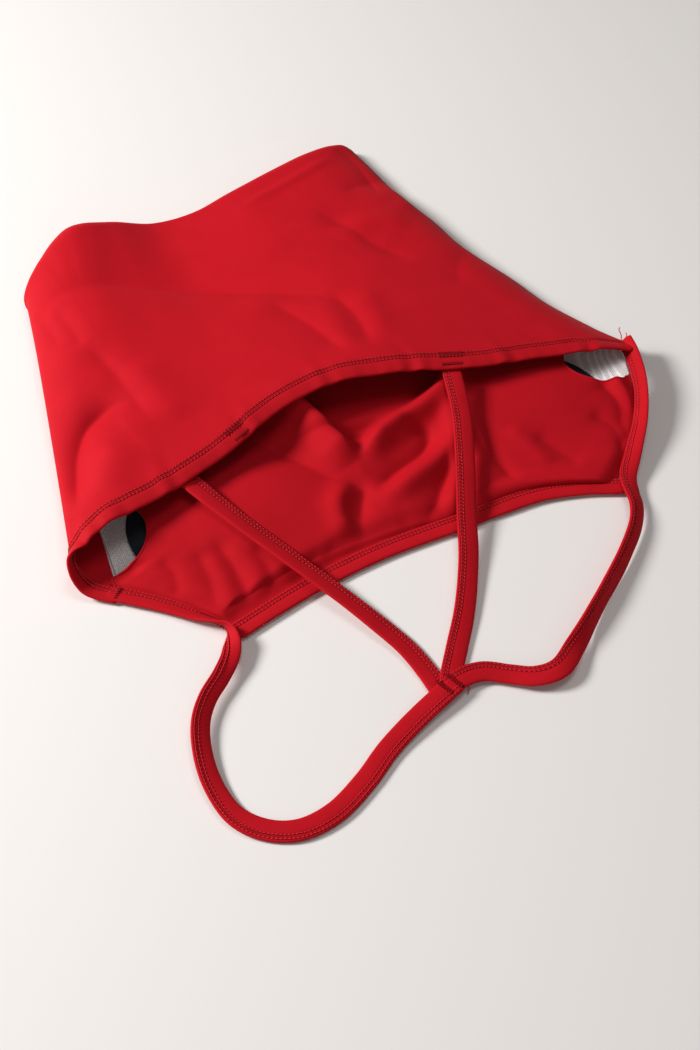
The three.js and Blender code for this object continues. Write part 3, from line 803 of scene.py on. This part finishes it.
back_points = KDTree(UPPER_ROWS * BACK_COLUMNS)
for number, (x, y, _) in enumerate(back_grid[:UPPER_ROWS].reshape(-1, 3)):
    back_points.insert((x, y, 0), number)
back_points.balance()
back_heights = back_grid[:UPPER_ROWS, :, 2].reshape(-1)


def back_height(x, y):
    """Height of the back panel over each place, and how far the place is outside it."""
    heights = np.zeros(x.size)
    distances = np.zeros(x.size)
    for number, (a, b) in enumerate(zip(x.ravel(), y.ravel())):
        _, index, distance = back_points.find((a, b, 0))
        heights[number] = back_heights[index]
        distances[number] = distance
    return heights.reshape(x.shape), distances.reshape(x.shape)


# ---- Front panel, its lower half, and the patch inside the crotch ----

FRONT_COLUMNS = 150
FRONT_ROWS = 60
FRONT_FOLD_STEPS = 6
FRONT_LOWER_ROWS = 30
FRONT_LEVEL = 0.45
FRONT_BOW = SIDE_BOW + 2.0
ARMHOLE_LIFT = 5.8
RIGHT_SEAM = [(167, -4), (141, 50), (118, 104), (97, 160), (84, 214)]
LEFT_SEAM = [(-149.5, -64), (-148, 40), (-144, 143)]


def near_edge(count, right_start=0.0):
    """The front's near edge: right armhole, neckline and left armhole."""
    right = at_share(RIGHT_ARMHOLE, np.linspace(right_start, 1, 60))
    left = even(LEFT_ARMHOLE, 40)
    return even(np.vstack([right[:-1], NECKLINE[:-1], left]), count)


def side_ease(x, y):
    """Fades from 0 at the side seams to 1 well inside them."""
    right, _ = off_path(x, y, RIGHT_SEAM)
    left, _ = off_path(x, y, LEFT_SEAM)
    return smooth(np.minimum(np.maximum(right, 0), np.maximum(-left, 0)) / 22)


def lift_over_lower_half(x, y):
    """How far the folded-under half holds the layers above it off the floor."""
    hips = smooth((y - 18) / 20)
    crotch = smooth(1.35 - np.hypot(x / 62, np.maximum(0, 4 - y) / 16))
    held = np.maximum(hips, crotch * smooth((y + 16) / 12))
    return LOWER_STACK * held * (0.3 + 0.7 * side_ease(x, y))


def armhole_rise(x, y):
    """How far the right armhole stands up off the floor."""
    away, _ = off_path(x, y, [tuple(point[:2]) for point in RIGHT_ARMHOLE[::24]])
    return ARMHOLE_LIFT * np.clip((y + 84) / 80, 0, 1) ** 0.8 * np.exp(-(away / 17) ** 2)


def front_level(x, y):
    """Height of the front panel's upper half over each place."""
    return FRONT_LEVEL + np.maximum(lift_over_lower_half(x, y), armhole_rise(x, y))


def lower_front_level(x, y):
    """Height of the front panel's lower half, which sinks towards the side seams."""
    return FRONT_LOWER_LEVEL - 1.6 * (1 - side_ease(x, y))


def front_panel_grid():
    """The whole front panel: its upper half, the waist fold and the lower half folded under."""
    near = near_edge(FRONT_COLUMNS)
    far = at_share(FOLD_TOP, np.linspace(0.02, 0.94, FRONT_COLUMNS)) - FOLD_OUTWARDS * 3.0
    t = np.linspace(0, 1, FRONT_ROWS)[:, None, None]
    upper = near[None] * (1 - t) + far[None] * t
    upper[..., 0] -= FRONT_BOW * (np.sin(math.pi * t[..., 0]) * near_right_side(FRONT_COLUMNS)[None, :])
    upper[..., 2] = front_level(upper[..., 0], upper[..., 1])
    top = upper[-1]
    turned_rows = turn_under(top, lower_front_level(top[:, 0], top[:, 1]), FRONT_FOLD_STEPS)
    plan = lower_plan(top, lower_edge(FRONT_LEG_CURVE, FRONT_COLUMNS)[0], FRONT_LOWER_ROWS)
    level = lower_front_level(plan[..., 0], plan[..., 1])[..., None]
    return np.concatenate([upper, turned_rows, np.concatenate([plan, level], axis=2)])


front_panel = make_cloth("front_panel_cloth", front_panel_grid(), CLOTH, jersey_red, rounds=0)
finish_piece(front_panel, "red_jersey", "front_panel")


# ---- Lining over the cup pads, with a slot at each side ----

LINING_COLUMNS = 250
LINING_ROWS = 130
LINING_BOW = SIDE_BOW + 3.5
LINING_BASE = 1.4
LINING_CLEARANCE = 2.6
SLOT_MIDDLE = -33
SLOT_REACH = 27
RIGHT_SLOT = [(156, -24), (147, -23), (137, -18), (130, -10), (128, 2), (132, 14), (138, 26)]
LEFT_SLOT = [
    (-152, -57), (-143, -54.5), (-135, -50), (-129, -42), (-126.5, -33), (-128, -24), (-135, -16),
    (-146, -10), (-149, 2),
]


def patch(near, far, first_side, last_side):
    """A sheet spanned between a near and a far edge and the two sides that join them."""
    rows, columns = len(first_side), len(near)
    t = np.linspace(0, 1, rows)[:, None, None]
    s = np.linspace(0, 1, columns)[None, :, None]
    across = near[None] * (1 - t) + far[None] * t
    along = first_side[:, None] * (1 - s) + last_side[:, None] * s
    corners = (
        near[0] * (1 - t) * (1 - s) + near[-1] * (1 - t) * s + far[0] * t * (1 - s) + far[-1] * t * s
    )
    return across + along - corners


def side_line(start, between, end, count):
    """A side of the lining or the net in plan, through the given points."""
    return even(line_through([(x, y, 0) for x, y in (start, *between, end)]), count)[:, :2]


def lining_grid(rows, columns, right_side=None, left_side=((-148, 0),), right_start=0.0):
    """The pocket layer in plan, from the near edge to halfway to the waist fold."""
    near = near_edge(columns, right_start)[:, :2]
    fold_line = at_share(FOLD_TOP, np.linspace(0.02, 0.9, columns))[:, :2]
    far = near_edge(columns)[:, :2] * 0.5 + fold_line * 0.5
    far[:, 0] -= LINING_BOW * near_right_side(columns)
    middle_right = (near[0] + far[0]) / 2 - (3, 0)
    right = side_line(near[0], right_side or (middle_right,), far[0], rows)
    left = side_line(near[-1], left_side, far[-1], rows)
    plan = patch(near, far, right, left)
    return np.concatenate([plan, np.zeros(plan.shape[:2] + (1,))], axis=2)


def eased(height):
    """Evens out a sheet's heights, with its edges held."""
    for _ in range(2):
        height[1:-1, 1:-1] = 0.5 * height[1:-1, 1:-1] + 0.125 * (
            height[:-2, 1:-1] + height[2:, 1:-1] + height[1:-1, :-2] + height[1:-1, 2:])
    return height


def shape_lining(grid):
    """Raises the lining over the pads and the lower half, with its folds, below the back panel."""
    x, y = grid[..., 0], grid[..., 1]
    from_near = np.hypot(x - x[:1], y - y[:1])
    height = 1.3 + 4.6 * smooth(from_near / 13)
    height += np.maximum(lift_over_lower_half(x, y) - 2.0, 0)
    for centre, radii, rise in LINING_MOUNDS:
        height += mound(x, y, centre, radii, rise) * smooth(from_near / 16)
    held = smooth(from_near / 7 + 0.1)
    for path, rise, left, right in LINING_RIDGES:
        height += fold(x, y, path, rise, left, right, 0.25) * held
    for path, depth, left, right in LINING_CREASES:
        height += crease(x, y, path, depth, left, right, 0.25) * held
    along = np.linspace(0, ROW_LENGTH, grid.shape[1])[None, :]
    height += 0.4 * ripple(along * 0.3, 8.0) * np.exp(-from_near / 9) * smooth(from_near / 3)
    height += 0.4 * ripple(x * 0.09 + y * 0.05, 4.0) * smooth(from_near / 14)
    height += 0.8 * armhole_rise(x, y)
    to_left = np.hypot(x - x[:, -1:], y - y[:, -1:])
    at_slot = smooth((SLOT_REACH - np.abs(y - SLOT_MIDDLE)) / 8)
    share = at_slot + (1 - at_slot) * smooth(to_left / 9 + 0.05)
    height = LINING_BASE + (height - LINING_BASE) * share
    ceiling, outside = back_height(x, y)
    height = np.minimum(height, np.where(outside < 2.5, ceiling - LINING_CLEARANCE, np.inf))
    height = np.maximum(height, front_level(x, y) + 1.0 + 1.5 * smooth(from_near / 8))
    grid[..., 2] = eased(height)
    return grid


lining_points = shape_lining(lining_grid(LINING_ROWS, LINING_COLUMNS, RIGHT_SLOT, LEFT_SLOT, 0.17))
# Cut from the darker copy of the jersey: painted shade.
lining = make_cloth("front_lining_cloth", lining_points, CLOTH, shaded_lining_red)
finish_piece(lining, "red_jersey", "front_lining")


def slot_hem(name, rim):
    """The narrow turned edge around a slot."""
    _, side, normal = frame_of(rim, np.tile(UP, (len(rim), 1)))
    hem = make_mesh(name, *sweep(rim, side, normal, round_section(0.75, 8)))
    # The hem takes the lining's darker red, which is painted shade.
    hem.data.materials.append(shaded_lining_red)
    finish_piece(hem, "red_jersey")


slot_rows = slice(3, int(LINING_ROWS * 0.62))
slot_hem("slot_hem_left", lining_points[slot_rows, -1])
slot_hem("slot_hem_right", lining_points[slot_rows, 0])

net_grid = lining_grid(60, 120)
net_grid[..., 2] = front_level(net_grid[..., 0], net_grid[..., 1]) + 1.0
net = make_cloth("power_mesh_net", net_grid, NET, power_net)
finish_piece(net, "white_power_mesh", "power_mesh")


# ---- Bindings and straps ----

def tape_along(name, line, side, normal, widths, thickness, finish, seed, nodes):
    """A stitched tape whose open edge runs along a line, with its width given along the way."""
    count = len(line)
    width = np.interp(np.linspace(0, 1, count), np.linspace(0, 1, len(widths)), widths)
    tape, stitches, painted_groove_lines = make_tape(name, line, side, normal, width, thickness, finish, seed)
    finish_piece(tape, "red_binding_tape", *nodes)
    finish_piece(stitches, "red_thread")
    # The ribbons of painted groove shade go on the garment with the thread.
    finish_piece(painted_groove_lines, "red_thread")


def bind_edge(name, edge, inside, tilts, seed, nodes, widths, overrun=(0.0, 0.0)):
    """Wraps a folded tape over a panel's edge, turned about the edge by the given tilts."""
    along, side, normal = frame_of(edge, edge - inside)
    tilt = np.interp(np.linspace(0, 1, len(edge)), np.linspace(0, 1, len(tilts)), tilts)
    side, normal = turned(side, normal, tilt)
    line = edge - side * 0.3
    line[0] -= along[0] * overrun[0]
    line[-1] += along[-1] * overrun[1]
    tape_along(name, line, side, normal, widths, BINDING_THICKNESS, binding_red, seed, nodes)
    return line, side, normal


BACK_EDGE_POINTS = 300
back_line = even(back_grid[0], BACK_EDGE_POINTS)
back_inside = at_share(back_grid[4], np.linspace(0, 1, BACK_EDGE_POINTS), by_length=False)
back_tape_frame = bind_edge(
    "back_edge_binding_tape", back_line, back_inside, [4, -4, -14, -16, -16, -14, -4, 0], 1.0,
    ["back_edge_binding", "back_edge_elastic"], widths=[11.5] * 11 + [10.2, 9.0], overrun=(1.5, 3.0))

neckline_line = even(NECKLINE, 150)
neckline_line[:, 2] = 1.5
neckline_inside = neckline_line + (np.array([-5.0, 150.0, 1.5]) - neckline_line) * 0.05
neckline_inside[:, 2] = 1.5
bind_edge(
    "neckline_binding_tape", neckline_line, neckline_inside, [6, 4, 3, 3, 4], 3.0,
    ["neckline_binding", "neckline_elastic"], widths=[10.5], overrun=(5.0, 2.0))


def lay_tape(name, route, hand, rolls, widths, count, seed, nodes):
    """A tape laid along a route through its middle and rolled on to its edge where it twists.

    hand is 1 where its folded edge lies on the right of the route, and -1 on the left.
    """
    line = even(line_through(route), count)
    shares = np.linspace(0, 1, count)
    roll = np.interp(shares, np.linspace(0, 1, len(rolls)), rolls)
    width = np.interp(shares, np.linspace(0, 1, len(widths)), widths)
    for _ in range(6):
        roll[1:-1] = (roll[:-2] + 2 * roll[1:-1] + roll[2:]) / 4
    along = unit(np.gradient(line, axis=0))
    side = unit(np.cross(along, UP)) * hand
    normal = np.cross(along, side) * -hand
    normal = np.where(normal[:, 2:] < 0, -normal, normal)
    side, normal = turned(side, normal, roll)
    middle = line - side * (width / 2)[:, None]
    tape_along(name, middle, side, normal, widths, STRAP_THICKNESS, binding_red, seed, nodes)


# Each shoulder strap runs on from the binding of its armhole. The left one turns over past the
# neckline's end, and the right one leans on its edge.
LEFT_SHOULDER_ROUTE = [
    (-156, -62.5, 2.2), (-151, -66.5, 2.2), (-137, -76, 2.2), (-122.5, -87.5, 2.3), (-111.5, -97, 2.8),
    (-106, -103.5, 3.6), (-106, -111, 4.8), (-110, -121, 5.6), (-117.5, -130, 5.6), (-128, -140, 5.4),
    (-135, -151, 5.0), (-139, -167, 4.2), (-139, -184, 3.0), (-134, -201, 1.9), (-124, -211, 1.4),
    (-109, -216.5, 1.3), (-91, -214, 1.3), (-72, -204, 1.3), (-55, -192, 1.6), (-36, -182, 2.8),
    (-20, -175, 3.9), (-11, -171, 3.9),
]
LEFT_SHOULDER_ROLLS = [6, 8, 10, 20, 70, 170, 205, 208, 206, 202, 194, 186] + [180] * 9
LEFT_SHOULDER_WIDTHS = [9.5, 9.5, 9.5, 9.5, 10, 10.5] + [STRAP_WIDTH] * 4
RIGHT_SHOULDER_ROUTE = [
    (170, 1, 11.5), (169.5, -9, 11.5), (163.5, -32, 10.5), (153, -53, 8.5), (139, -72, 6), (128.5, -86, 4.6),
    (126, -95, 4.4), (124, -104, 4.8), (118, -115, 5), (103, -131, 5), (76, -154, 5), (53, -173, 5.2),
    (39, -182.5, 5.6), (27, -182, 4.4), (16, -176, 2.6), (4, -170, 2.8), (-7, -170, 3.6), (-17, -173.5, 4.0),
]
RIGHT_SHOULDER_ROLLS = [44, 52, 54, 46, 28, 4, -24, -40, -46, -50, -56, -46, -20, 0, 0, 0, 0]
RIGHT_SHOULDER_WIDTHS = [9.5, 9.5, 9.5, 9.5, 10] + [STRAP_WIDTH] * 4
LEFT_BACK_ROUTE = [
    (-106.5, -10, 21.4), (-99.5, -22, 19.4), (-86, -45, 15.5), (-65, -78, 10.5), (-48, -105, 6.6),
    (-33, -131, 3.4), (-26, -146, 2.2), (-22, -160, 1.4), (-20, -172, 1.3),
]
RIGHT_BACK_ROUTE = [
    (62, 13, 24), (60.5, 4, 22.5), (55, -24, 18), (45, -53, 13.5), (32, -86, 8), (24, -107, 5), (10, -134, 3),
    (-2, -152, 2), (-11, -165.5, 1.4), (-14, -171, 1.3),
]
lay_tape(
    "shoulder_strap_left_tape", LEFT_SHOULDER_ROUTE, 1, LEFT_SHOULDER_ROLLS, LEFT_SHOULDER_WIDTHS, 240, 5.0,
    ["armhole_left_binding", "armhole_left_elastic", "shoulder_strap_left", "shoulder_strap_left_elastic"])
lay_tape(
    "shoulder_strap_right_tape", RIGHT_SHOULDER_ROUTE, -1, RIGHT_SHOULDER_ROLLS, RIGHT_SHOULDER_WIDTHS,
    230, 6.0,
    ["armhole_right_binding", "armhole_right_elastic", "shoulder_strap_right",
     "shoulder_strap_right_elastic"])
lay_tape(
    "back_strap_left_tape", LEFT_BACK_ROUTE, 1, [0, 14, 18, 16, 4], [STRAP_WIDTH] * 2, 100, 7.0,
    ["back_strap_left", "back_strap_left_elastic"])
lay_tape(
    "back_strap_right_tape", RIGHT_BACK_ROUTE, -1, [0, -10, -14, -14, -4], [STRAP_WIDTH] * 2, 110, 8.0,
    ["back_strap_right", "back_strap_right_elastic"])

# The leg openings, folded under with the lower half.
leg_layers = [("seat", SEAT_LEG_CURVE, SEAT_LEVEL), ("front", FRONT_LEG_CURVE, FRONT_LOWER_LEVEL)]
for layer, curve, level in leg_layers:
    _, right_leg, left_leg = lower_edge(curve, BACK_COLUMNS)
    for side_name, leg in (("right", right_leg), ("left", left_leg)):
        leg_edge = np.column_stack([even(leg, 70), np.full(70, level + 0.75)])
        leg_inside = leg_edge + (np.array([-10.0, 180.0, level + 0.75]) - leg_edge) * 0.05
        bind_edge(
            f"leg_{layer}_{side_name}_binding_tape", leg_edge, leg_inside, [0, 0], 9.0 + curve,
            [f"leg_{layer}_{side_name}_binding", f"leg_{layer}_{side_name}_elastic"], widths=[9.0])


# ---- Tacks and loose thread ends ----

TACK_RADIUS = 0.3
TACK_ROWS = (2.2, 8.2)


def thread_tube(points, radius):
    """A length of thread through the given points."""
    line = even(line_through(points, 8), 10 * len(points))
    _, side, normal = frame_of(line, np.tile((0.31, 0.2, 0.93), (len(line), 1)))
    return sweep(line, side, normal, round_section(radius, 5))


def zigzag(centre, across, along, turns, reach):
    """Thread stitched to and fro over a strap's end, lying on the tape."""
    points = []
    for k in range(turns * 2 + 1):
        way = k / (turns * 2) - 0.5
        points.append(centre + across * way + along * reach * (1 if k % 2 else -1))
    return thread_tube(points, TACK_RADIUS)


def make_tack(name, parts, *nodes):
    """A group of tacking stitches as one piece, in place of the nodes it stands for."""
    tack = make_mesh(name, *join_parts(parts))
    # Thread in the darker red, which is painted shade.
    tack.data.materials.append(shaded_tack_red)
    finish_piece(tack, "red_thread", *nodes)


def edge_tack(name, share, node):
    """Two rows of stitches across the back edge's binding, over the end of a back strap."""
    line, sides, normals = back_tape_frame
    place = int(share * (BACK_EDGE_POINTS - 1))
    step = unit(line[place + 3] - line[place - 3])
    surface = line[place] + normals[place] * (BINDING_THICKNESS / 2 + 0.25)
    side = sides[place]
    make_tack(name, [
        zigzag(surface + side * TACK_ROWS[0], step * (STRAP_WIDTH + 3), side, 7, 1.9),
        zigzag(surface + side * TACK_ROWS[1], step * (STRAP_WIDTH + 1), side, 12, 0.8),
    ], node)


edge_tack("back_tack_left_thread", 0.63, "back_tack_left")
edge_tack("back_tack_right_thread", 0.285, "back_tack_right")
join_across = np.array([4.6, -9.0, 0])
join_along = np.array([0.89, 0.45, 0])
make_tack("strap_join_tack_thread", [
    zigzag(np.array([-18.5, -172.3, 5.4]), join_across, join_along, 7, 1.1),
    zigzag(np.array([-12.5, -170.6, 5.4]), join_across, join_along, 7, 1.1),
], "strap_join_tack")
make_tack("left_side_tack_thread", [
    zigzag(np.array([-151.6, -65.8, 3.7]), np.array([-4.6, -5.6, 0]), np.array([0.77, -0.63, 0]), 5, 0.8),
])

loose_ends = [
    thread_tube([(167.5, 0, 11), (169, 3.5, 13), (168.6, 6, 14.5), (170.2, 8, 14.2)], 0.3),
    thread_tube([(169, 0, 12), (171.5, 1.5, 13), (172.5, 4, 13)], 0.28),
    thread_tube([(-10, -170, 4.6), (-7, -173, 3.6), (-6.4, -176, 1.6), (-8, -178, 0.9)], 0.28),
]
thread_ends = make_mesh("loose_thread_ends", *join_parts(loose_ends))
thread_ends.data.materials.append(thread_red)
finish_piece(thread_ends, "red_thread")


# ---- Inner pieces ----

BAND_POINTS = 160
BAND_THICKNESS = 1.4


def elastic_band():
    """The soft elastic along the lower edge of the lining."""
    near = near_edge(BAND_POINTS)[:, :2]
    far = at_share(FOLD_TOP, np.linspace(0.02, 0.9, BAND_POINTS))[:, :2]
    rows = []
    for share in np.linspace(0.505, 0.54, 6):
        plan = near * (1 - share) + far * share
        plan[:, 0] -= LINING_BOW * near_right_side(BAND_POINTS)
        level = 1.9 + front_level(plan[:, 0], plan[:, 1])
        level = level + 0.15 * ripple(np.linspace(0, 300, BAND_POINTS), share * 40)
        rows.append(np.column_stack([plan, level]))
    return np.array(rows)


band = make_cloth("under_bust_elastic_band", elastic_band(), BAND_THICKNESS, elastic_white, rounds=0)
finish_piece(band, "white_elastic", "under_bust_elastic")


def crotch_patch():
    """A cotton patch that narrows at its middle, inside the crotch."""
    upwards = np.array([-0.14, 0.99])
    across = unit(CROTCH_HALF[None])[0]
    rows = []
    for share in np.linspace(0, 1, 24):
        half = 26 - 5 * math.sin(math.pi * share)
        middle = CROTCH_CENTRE + upwards * (4 + 70 * share)
        sides = np.linspace(1, -1, 18)[:, None]
        rows.append(np.column_stack([middle + across * sides * half, np.full(18, 1.5)]))
    return np.array(rows)


gusset = make_cloth("gusset_lining_patch", crotch_patch(), NET, cotton_lining, rounds=0)
finish_piece(gusset, "cotton_lining", "gusset_lining")


# ---- Cup pads ----

PAD_REACH = {"left": (49.0, 42.0), "right": (54.0, 44.0)}
PAD_BASE = 2.3
PAD_TOP = 6.0


def make_pad(side):
    """A moulded cup pad: a shallow soft lens with a thin bevelled rim."""
    centre = PAD_CENTRES[side]
    wide, deep = PAD_REACH[side]
    rings, spokes = 16, 72
    points = []
    for layer in (0, 1):
        for i in range(rings):
            share = ((i + 1) / rings) ** 0.8
            for k in range(spokes):
                angle = 2 * math.pi * k / spokes
                low = PAD_BASE + 0.9 * share ** 2
                full = 3.2 * (1 - share ** 4) + 0.5 * (1 - share ** 12)
                points.append((
                    centre[0] + wide * share * math.cos(angle),
                    centre[1] + deep * share * math.sin(angle),
                    low + full * layer,
                ))
    bottom_centre = len(points)
    points.append((*centre, PAD_BASE))
    points.append((*centre, PAD_TOP))
    faces = []
    for layer in (0, 1):
        start = layer * rings * spokes
        ring_faces = grid_faces(rings, spokes, wrap=True, start=start)
        hub = [(bottom_centre + layer, start + k, start + (k + 1) % spokes) for k in range(spokes)]
        facing_up = ring_faces + [corner[::-1] for corner in hub]
        faces += facing_up if layer else [face[::-1] for face in facing_up]
    last = (rings - 1) * spokes
    top = rings * spokes + last
    faces += [(last + k, top + k, top + (k + 1) % spokes, last + (k + 1) % spokes) for k in range(spokes)]
    pad = make_mesh(f"cup_pad_{side}_foam", points, faces)
    soften(pad, 1)
    pad.data.materials.append(foam_black)
    finish_piece(pad, "black_foam", f"cup_pad_{side}", body=f"pad_{side}")


for pad_side in ("left", "right"):
    make_pad(pad_side)
